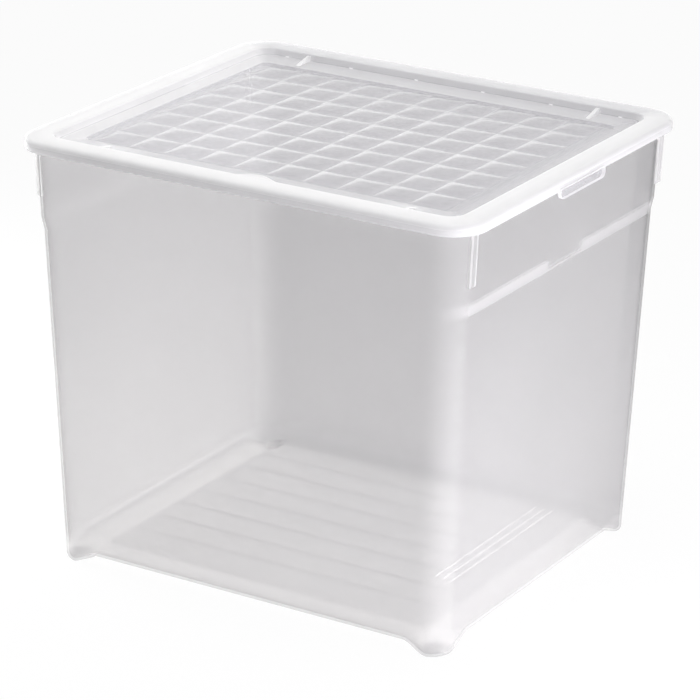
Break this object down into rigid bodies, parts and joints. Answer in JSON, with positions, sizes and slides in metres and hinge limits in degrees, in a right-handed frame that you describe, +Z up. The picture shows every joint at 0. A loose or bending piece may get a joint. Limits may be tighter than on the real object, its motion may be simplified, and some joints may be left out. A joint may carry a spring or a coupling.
{
  "type": "storage box with lid",
  "caption": "Clear tapered plastic storage tub on corner feet, with a stepped collar, finger scoops and a lift-off lid that has a quilted, recessed panel and pull tabs.",
  "frame": {"origin": "middle of the base, on the surface that the feet stand on", "axes": "+X along the long sides, -Y towards the long side at the left of the picture, +Z up, the way the lid lifts off"},
  "size_m": [0.4032, 0.345, 0.35],
  "materials": {
    "tub_plastic": "clear polypropylene with a slight haze, smooth outside",
    "lid_plastic": "clear polypropylene with a slight haze, quilted panel"
  },
  "bodies": {
    "tub": {"box_tub": "tub_plastic"},
    "lid": {"lid": "lid_plastic"}
  },
  "joints": [
    {"name": "lid_lift", "type": "slide", "parent": "tub", "child": "lid", "axis": [0, 0, 1], "range_m": [0, 0.25]}
  ]
}
